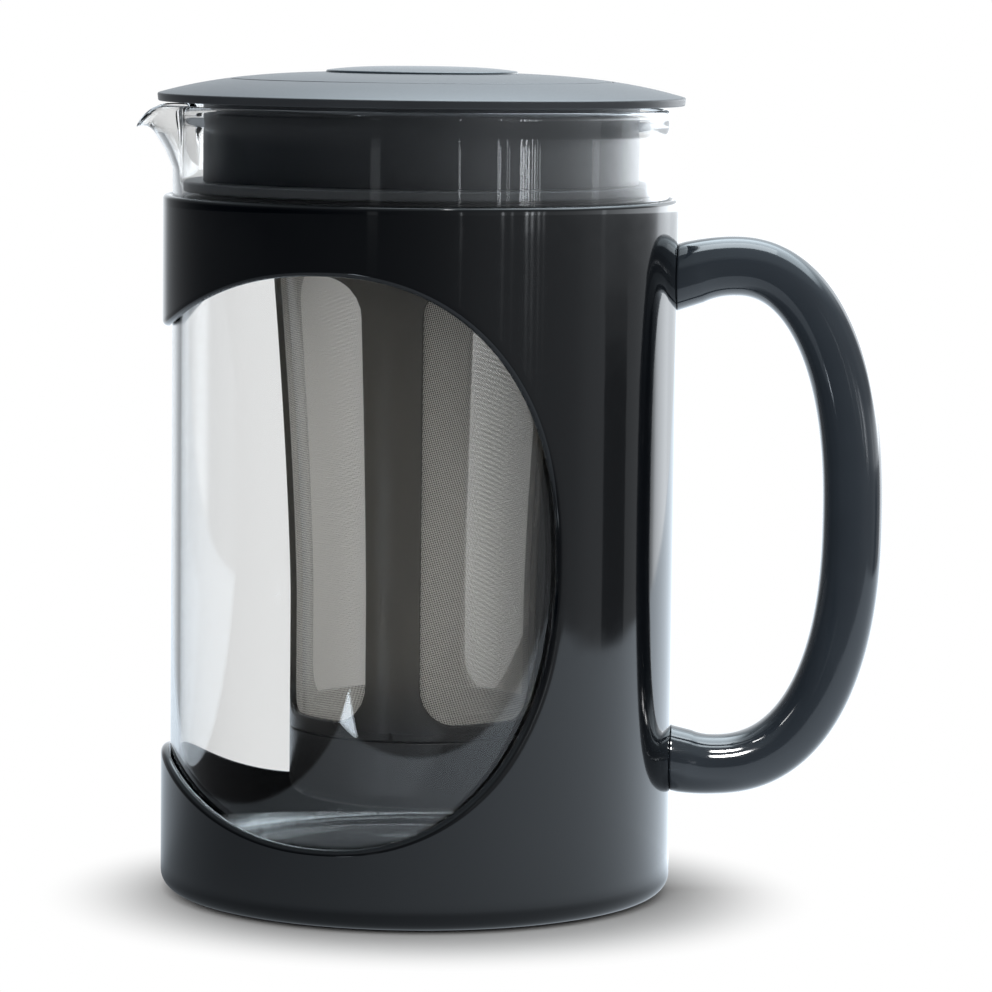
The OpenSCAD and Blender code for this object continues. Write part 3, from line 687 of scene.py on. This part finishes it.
def quadrant_border(low, high, count=40):
    """Border of a quarter of the cage's wall, a rectangle in (angle, z) with as many points on
    each side as the window's outline."""
    eighth = np.pi / 4
    share = np.linspace(0, 1, count)[:-1]
    corners = [(eighth, high), (-eighth, high), (-eighth, low), (eighth, low), (eighth, high)]
    sides = [np.stack([a[0] + (b[0] - a[0]) * share, a[1] + (b[1] - a[1]) * share], axis=1)
             for a, b in zip(corners, corners[1:])]
    line = np.concatenate(sides + [sides[0][:1]])
    return line[::-1]


core_sheets = []
band = np.linspace(-np.pi / 4, np.pi / 4, 40)
for window in range(4):
    facing = CORE_CLOCK + np.pi / 4 + window * np.pi / 2

    def on_cage(angle, z, radius):
        across, along = radius * np.cos(angle + facing), radius * np.sin(angle + facing)
        return np.stack([across, along, z + 0 * angle], axis=-1)

    core_sheets += pierced_wall(mesh_outline(), [quadrant_border(core_low.z, core_high.z)] * 2,
                                [core_radius, lambda z: core_radius(z) - CORE_WALL],
                                [CORE_FILLET] * 2, on_cage, closed=True, rows=14)
    for z in (core_low.z, core_high.z):
        ends = np.array([[core_radius(z), z], [core_radius(z) - CORE_WALL, z]])
        core_sheets.append(turned(ends, band + facing))
add_piece("core_cage", core_sheets, "core", "core_plastic", core_black, "core_frame")


# ---------------------------------------------------------------- filter mesh
# Four panels of fine woven filter cloth, warm grey, moulded into the cage's wall. Light
# from behind comes through the open part of the weave.
CLOTH_THICK = 0.00014
CLOTH_MARGIN = (np.radians(4), 0.0016)      # how far each panel runs on into ribs and bands
WEAVE_PITCH = 0.0004
THREAD_SHARE = 0.24
WEAVE_TURNS = np.radians([12, 57, 35, 80])   # how each panel's weave lies

cloth, tree, shader = new_material("mesh_cloth", (0.5, 0.49, 0.465), 0.6, IOR=1.45)
where = tree.nodes.new("ShaderNodeUVMap")
where.uv_map = "weave"
split = tree.nodes.new("ShaderNodeSeparateXYZ")
tree.links.new(where.outputs["UV"], split.inputs[0])


def arithmetic(tree, operation, a, b=None):
    """One Math node. Numbers and sockets both serve."""
    node = tree.nodes.new("ShaderNodeMath")
    node.operation = operation
    for socket, value in zip(node.inputs, (a, b)):
        if value is None:
            continue
        if isinstance(value, (int, float)):
            socket.default_value = value
        else:
            tree.links.new(value, socket)
    return node.outputs[0]


def thread_height(axis):
    """A thread's round back across its width, and 0 in the open part of the weave."""
    phase = arithmetic(tree, "FRACT", arithmetic(tree, "DIVIDE", split.outputs[axis], WEAVE_PITCH))
    off = arithmetic(tree, "ABSOLUTE", arithmetic(tree, "SUBTRACT", phase, 0.5))
    back = arithmetic(tree, "SUBTRACT", 1.0, arithmetic(tree, "DIVIDE", off, THREAD_SHARE / 2))
    return arithmetic(tree, "MAXIMUM", back, 0.0)


woven = arithmetic(tree, "MAXIMUM", thread_height("X"), thread_height("Y"))
tree.links.new(arithmetic(tree, "GREATER_THAN", woven, 0.0), shader.inputs["Alpha"])
# painted shade and highlight: each thread is darker at its sides and lighter along its round back
tree.links.new(tint(tree, woven, (0.70, 0.68, 0.63), (0.90, 0.87, 0.81)), shader.inputs["Base Color"])
bump(tree, shader, woven, 0.0001, 0.7)


def cloth_sheets(facing, across=48, up=90):
    """A thin closed sheet in the middle of the cage's wall: two faces that follow the cage's
    radius at every height, and a strip that joins their borders."""
    half = MESH_HALF_ANGLE + CLOTH_MARGIN[0]
    angle, z = np.meshgrid(np.linspace(-half, half, across) + facing,
                           np.linspace(mesh_foot - CLOTH_MARGIN[1], mesh_top + CLOTH_MARGIN[1], up))
    faces = []
    for offset in (CLOTH_THICK / 2, -CLOTH_THICK / 2):
        r = core_radius(z) - CORE_WALL / 2 + offset
        faces.append(np.stack([r * np.cos(angle), r * np.sin(angle), z], axis=-1))
    strips = [np.stack([faces[0][edge], faces[1][edge]]) for edge in
              (np.s_[0, :], np.s_[-1, :], np.s_[:, 0], np.s_[:, -1])]
    return faces + strips


def lay_weave(piece, facing, lie):
    """UV map of the weave, in metres: the way round the cage and the height, turned by an angle."""
    mesh = piece.data
    points = np.zeros(len(mesh.vertices) * 3)
    mesh.vertices.foreach_get("co", points)
    points = points.reshape(-1, 3)
    turn = np.angle(np.exp(1j * (np.arctan2(points[:, 1], points[:, 0]) - facing)))
    way = turn * CORE_R
    flat = np.stack([way * np.cos(lie) - points[:, 2] * np.sin(lie),
                     way * np.sin(lie) + points[:, 2] * np.cos(lie)], axis=1)
    corner = np.zeros(len(mesh.loops), int)
    mesh.loops.foreach_get("vertex_index", corner)
    layer = mesh.uv_layers.new(name="weave")
    layer.data.foreach_set("uv", flat[corner].ravel())


for window, name in enumerate(("mesh_front_right", "mesh_rear_right", "mesh_rear_left", "mesh_front_left")):
    facing = CORE_CLOCK + np.pi / 4 + window * np.pi / 2
    panel = add_piece("cloth_" + name[5:], cloth_sheets(facing), "core", "mesh_cloth", cloth, name)
    lay_weave(panel, facing, WEAVE_TURNS[window])


# ---------------------------------------------------------------- core cap
# The core's bottom cap, in the same smoky plastic, screws up into the cage and comes off for
# emptying the grounds. Its lower corner is rounded, and a groove in its shoulder holds the seal.
CAP_CORNER = 0.003
SHOULDER = 0.0003                   # gap between the cap's shoulder and the cage
SPIGOT_R = 0.026
SPIGOT_WALL = 0.002
CAP_FLOOR = 0.0022
SEAL_GROOVE = (0.0007, 0.0013)      # half width and depth
SHARP = 0.0001                      # fillet of a crisp corner
cap_low, cap_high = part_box("core_cap")
shoulder_z = core_low.z - SHOULDER
groove_z = shoulder_z - SEAL_GROOVE[1]
groove_in, groove_out = (CORE_R - CORE_WALL / 2 + side * SEAL_GROOVE[0] for side in (-1, 1))
cap_inside = cap_low.z + CAP_FLOOR
cap_line = rounded([
    (0, cap_low.z, 0), (CORE_R, cap_low.z, CAP_CORNER), (CORE_R, shoulder_z, 0.0003),
    (groove_out, shoulder_z, SHARP), (groove_out, groove_z, SHARP), (groove_in, groove_z, SHARP),
    (groove_in, shoulder_z, SHARP), (SPIGOT_R, shoulder_z, SHARP), (SPIGOT_R, cap_high.z, 0.0004),
    (SPIGOT_R - SPIGOT_WALL, cap_high.z, 0.0004), (SPIGOT_R - SPIGOT_WALL, cap_inside, 0.001),
    (0, cap_inside, 0)])
add_piece("core_bottom_cap", [turned(cap_line, FULL_TURN)], "cap", "core_plastic", core_black, "core_cap")


# ---------------------------------------------------------------- cap seal
# A thin ring of smoky silicone that lies in the cap's groove and meets the cage's foot. It is
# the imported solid.
coat_cad_node("cap_seal", smoke_silicone)


# ---------------------------------------------------------------- table
# A plain white table top. Near the object it is a matt grey that also takes real shade, a painted shadow that
# fades out to a white glow. What the gloss mirrors of it is a rectangle that ends in front and on both sides.
TABLE_HALF = 4.0
TABLE_ENDS = (-0.19, 0.5, -0.298)      # left, right and front, as mirrored
END_BLUR = (0.004, 0.02)               # half width of the left and front ends, and of the right one
SHADOW_MIDDLE = (0.003, -0.01, 0)      # the shadow lies a little to the front
SHADOW_REACH = (0.0515, 0.09)          # from full painted shadow to none
CONTACT_REACH = (0.058, 0.085)         # the same for the painted shadow in what the gloss mirrors
TABLE_LEVELS = [(-180, 1.3), (-120, 0.6), (-85, 0.3), (-45, 0.45), (0, 0.75), (45, 1.2), (90, 1.6),
                (125, 1.9), (180, 1.3)]     # degrees round from the front, brightness
SLIVER_TIP = (-0.207, -0.367)          # a bright triangle just past the table's corner
SLIVER_LEAN = (0.2, 1.0)
SLIVER_DEPTH = 0.0685
SLIVER_LEVEL = 8.0


def times(tree, *values):
    """The product of numbers and sockets."""
    result = values[0]
    for value in values[1:]:
        result = arithmetic(tree, "MULTIPLY", result, value)
    return result


def inverse(tree, value):
    """1 less the value."""
    return arithmetic(tree, "SUBTRACT", 1.0, value)


def azimuth_share(tree, vector):
    """Direction round the axis as a share of a turn: 0.5 is the front, 0.75 the handle's side.
    Returns it and the vector's parts."""
    parts = tree.nodes.new("ShaderNodeSeparateXYZ")
    tree.links.new(vector, parts.inputs[0])
    turn = arithmetic(tree, "ARCTAN2", parts.outputs["X"], times(tree, parts.outputs["Y"], -1.0))
    share_round = arithmetic(tree, "ADD", arithmetic(tree, "DIVIDE", turn, 2 * np.pi), 0.5)
    return share_round, [parts.outputs[axis] for axis in "XYZ"]


def ramp(tree, value, stops):
    """Grey levels at given degrees round from the front, smoothly joined."""
    node = tree.nodes.new("ShaderNodeFloatCurve")
    curve = node.mapping.curves[0]
    top = max(level for _, level in stops)
    for i, (degrees, level) in enumerate(stops):
        at = (degrees / 360 + 0.5, level / top)
        if i < 2:
            curve.points[i].location = at
        else:
            curve.points.new(*at)
    node.mapping.update()
    tree.links.new(value, node.inputs["Value"])
    return times(tree, node.outputs[0], float(top))


def mirrored_ray(tree):
    """1 for a ray that a glossy surface threw back on its way, 0 for one that came straight from
    the camera, through glass or not, or from a matt surface."""
    path = tree.nodes.new("ShaderNodeLightPath")
    thrown_back = arithmetic(tree, "GREATER_THAN", path.outputs["Glossy Depth"], 0.5)
    return times(tree, thrown_back, arithmetic(tree, "LESS_THAN", path.outputs["Diffuse Depth"], 0.5))


def choose(tree, factor, first, second):
    """A mix of two shaders: the first where the factor is 0, the second where it is 1."""
    mix = tree.nodes.new("ShaderNodeMixShader")
    tree.links.new(factor, mix.inputs[0])
    tree.links.new(first, mix.inputs[1])
    tree.links.new(second, mix.inputs[2])
    return mix.outputs[0]


table_mesh = bpy.data.meshes.new("table")
table_mesh.from_pydata([(-TABLE_HALF, -TABLE_HALF, 0), (TABLE_HALF, -TABLE_HALF, 0),
                        (TABLE_HALF, TABLE_HALF, 0), (-TABLE_HALF, TABLE_HALF, 0)], [], [(0, 1, 2, 3)])
table = bpy.data.objects.new("table", table_mesh)
bpy.context.scene.collection.objects.link(table)

white_top = bpy.data.materials.new("table_white")
white_top.use_nodes = True
tree = white_top.node_tree
tree.nodes.clear()
place = tree.nodes.new("ShaderNodeTexCoord")
share_round, (across, along, _) = azimuth_share(tree, place.outputs["Object"])
reach = tree.nodes.new("ShaderNodeVectorMath")
reach.operation = "DISTANCE"
reach.inputs[1].default_value = SHADOW_MIDDLE
tree.links.new(place.outputs["Object"], reach.inputs[0])
distance = reach.outputs["Value"]

# painted shadow: the table is a darker grey near the object than the white glow beyond
painted_shadow_matte = tree.nodes.new("ShaderNodeBsdfDiffuse")
painted_shadow_matte.inputs["Color"].default_value = (0.45, 0.45, 0.45, 1)
glow = tree.nodes.new("ShaderNodeEmission")
plain = choose(tree, fade(tree, distance, *SHADOW_REACH), painted_shadow_matte.outputs[0], glow.outputs[0])

left, right, front = TABLE_ENDS
on_table = times(tree, fade(tree, across, left - END_BLUR[0], left + END_BLUR[0]),
                 fade(tree, along, front - END_BLUR[0], front + END_BLUR[0]),
                 inverse(tree, fade(tree, across, right - END_BLUR[1], right + END_BLUR[1])))
past_x = arithmetic(tree, "SUBTRACT", across, SLIVER_TIP[0])
past_y = arithmetic(tree, "SUBTRACT", along, SLIVER_TIP[1])
lean = arithmetic(tree, "DIVIDE", past_x, past_y)
sliver = times(tree, arithmetic(tree, "GREATER_THAN", lean, SLIVER_LEAN[0]),
               arithmetic(tree, "LESS_THAN", lean, SLIVER_LEAN[1]),
               arithmetic(tree, "GREATER_THAN", past_y, 0.0),
               arithmetic(tree, "LESS_THAN", past_y, SLIVER_DEPTH))
# painted shadow in the reflection: the table's mirrored brightness is halved at the object's foot
contact = arithmetic(tree, "ADD", 0.5, times(tree, 0.5, fade(tree, distance, *CONTACT_REACH)))
level = arithmetic(tree, "ADD", ramp(tree, share_round, TABLE_LEVELS), times(tree, sliver, SLIVER_LEVEL))
mirrored = tree.nodes.new("ShaderNodeEmission")
mirrored.inputs["Color"].default_value = (0.84, 0.94, 1.04, 1)
tree.links.new(times(tree, level, contact), mirrored.inputs["Strength"])
beyond = tree.nodes.new("ShaderNodeBsdfTransparent")
mirrored_table = choose(tree, arithmetic(tree, "MAXIMUM", on_table, sliver),
                        beyond.outputs[0], mirrored.outputs[0])
out = tree.nodes.new("ShaderNodeOutputMaterial")
tree.links.new(choose(tree, mirrored_ray(tree), plain, mirrored_table), out.inputs["Surface"])
table_mesh.materials.append(white_top)


# ---------------------------------------------------------------- light
# A white room. What the gloss mirrors is a studio: white walls behind, brightest past the
# handle, a dark room in front that is lighter to the right, a few lit slats, a cool ceiling.
WALLS = [(-180, 1.2), (-165, 1.0), (-150, 0.35), (-125, 0.12), (-85, 0.05), (-40, 0.05), (0, 0.12),
         (35, 0.34), (70, 0.42), (86, 0.55), (104, 0.45), (122, 0.6), (131, 1.6), (138, 2.7), (150, 2.0),
         (162, 1.45), (180, 1.2)]
CEILING = [(-180, 1.7), (-150, 0.6), (-90, 0.3), (0, 0.6), (90, 1.0), (140, 2.8), (180, 1.7)]
OVERHEAD = 6.5                      # a big soft light above and behind, on the handle's side
# each slat's degrees round from the front, half width in degrees, and brightness
SLATS = [(-21, 2.2, 0.3), (17.6, 0.3, 3.0), (36.2, 0.4, 5.0), (40.6, 0.3, 2.6), (47.5, 0.5, 9.0),
         (50.1, 0.45, 9.0), (53.2, 0.35, 6.0), (55.8, 0.3, 3.6), (88.4, 1.2, 1.2)]
SLATS_LOW = 0.05                    # share of their brightness that goes on lower down
POST = (98, 7.5, 0.7)               # degrees, half width, and how much darker than the wall
BAY = [(-180, 0.0), (0, 0.0), (60, 0.3), (100, 1.5), (125, 2.2), (180, 0.0)]

world = bpy.data.worlds.new("studio")
bpy.context.scene.world = world
world.use_nodes = True
tree = world.node_tree
tree.nodes.clear()
place = tree.nodes.new("ShaderNodeTexCoord")
share_round, (across, along, upward) = azimuth_share(tree, place.outputs["Generated"])


def near(tree, degrees, half_width):
    """1 within half_width degrees of a direction round from the front, and 0 elsewhere."""
    off = arithmetic(tree, "ABSOLUTE", arithmetic(tree, "SUBTRACT", share_round, degrees / 360 + 0.5))
    return arithmetic(tree, "LESS_THAN", off, half_width / 360)


ceiling = fade(tree, upward, 0.2, 0.6)
overhead = times(tree, fade(tree, upward, 0.5, 0.7), fade(tree, along, -0.26, -0.12),
                 fade(tree, across, -0.4, 0.0))
lit_ceiling = arithmetic(tree, "MAXIMUM", times(tree, ceiling, ramp(tree, share_round, CEILING)),
                         times(tree, overhead, OVERHEAD))
eye_level = inverse(tree, fade(tree, upward, 0.02, 0.1))
slats = 0.0
for degrees, half_width, strength in SLATS:
    slats = arithmetic(tree, "ADD", slats, times(tree, near(tree, degrees, half_width), strength))
height = arithmetic(tree, "ADD", times(tree, SLATS_LOW, fade(tree, upward, -0.085, -0.06)),
                    times(tree, 1 - SLATS_LOW, fade(tree, upward, -0.046, -0.041)))
slats = times(tree, slats, height, eye_level)
post = times(tree, near(tree, *POST[:2]), inverse(tree, fade(tree, upward, -0.08, -0.055)), POST[2])
walls = times(tree, ramp(tree, share_round, WALLS), inverse(tree, post))
bay = times(tree, fade(tree, upward, -0.046, -0.038), eye_level, ramp(tree, share_round, BAY))
mirrored_level = arithmetic(tree, "ADD", arithmetic(tree, "MAXIMUM", walls, lit_ceiling),
                            arithmetic(tree, "ADD", slats, bay))
studio = tree.nodes.new("ShaderNodeBackground")
tree.links.new(tint(tree, ceiling, (0.93, 0.98, 1.03), (0.8, 0.92, 1.0)), studio.inputs["Color"])
tree.links.new(mirrored_level, studio.inputs["Strength"])
room = tree.nodes.new("ShaderNodeBackground")
room.inputs["Color"].default_value = (1, 1, 1, 1)
out = tree.nodes.new("ShaderNodeOutputWorld")
tree.links.new(choose(tree, mirrored_ray(tree), room.outputs[0], studio.outputs[0]), out.inputs["Surface"])


def area_light(name, size, energy):
    """A rectangular light at the origin, facing down."""
    lamp = bpy.data.lights.new(name, "AREA")
    lamp.shape = "RECTANGLE"
    lamp.size, lamp.size_y = size
    lamp.energy = energy
    holder = bpy.data.objects.new(name, lamp)
    bpy.context.scene.collection.objects.link(holder)
    return holder


softbox = area_light("ceiling_softbox", (0.9, 0.6), 5.0)
softbox.data.color = (0.9, 0.96, 1.0)
softbox.location = (0.15, 0.1, 1.2)

# two narrow beams aimed at the handle's lower root, each tipped down by some degrees
for spot, down in (((0.068, -0.146, 0.257), 58), ((0.068, -0.226, 0.179), 33)):
    strip = area_light("strip", (0.09, 0.045), 0.035)
    strip.data.spread = np.radians(25)
    strip.matrix_world = Matrix.Translation(spot) @ Matrix.Rotation(np.radians(90 - down), 4, "X")
    strip.visible_diffuse = strip.visible_transmission = False


# ---------------------------------------------------------------- camera
# One metre away in front, a little above the lid, looking slightly down and turned a
# touch to the right, with a long lens.
CAMERA_PLACE = (0.0, -1.09, 0.2064)
CAMERA_YAW, CAMERA_PITCH, CAMERA_ROLL = np.radians([0.944, 6.023, 0.64])
CAMERA_LENS = 172.3

ahead = np.array([np.sin(CAMERA_YAW) * np.cos(CAMERA_PITCH), np.cos(CAMERA_YAW) * np.cos(CAMERA_PITCH),
                  -np.sin(CAMERA_PITCH)])
level_right = np.array([np.cos(CAMERA_YAW), -np.sin(CAMERA_YAW), 0])
level_up = np.cross(level_right, ahead)
right = np.cos(CAMERA_ROLL) * level_right + np.sin(CAMERA_ROLL) * level_up
upward = -np.sin(CAMERA_ROLL) * level_right + np.cos(CAMERA_ROLL) * level_up
view = bpy.data.cameras.new("camera")
view.lens = CAMERA_LENS
view.clip_start = 0.05
camera = bpy.data.objects.new("camera", view)
turn = np.eye(4)
turn[:3, 0], turn[:3, 1], turn[:3, 2], turn[:3, 3] = right, upward, -ahead, CAMERA_PLACE
camera.matrix_world = Matrix(turn.tolist())
bpy.context.scene.collection.objects.link(camera)
bpy.context.scene.camera = camera
bpy.context.scene.view_settings.view_transform = "Standard"
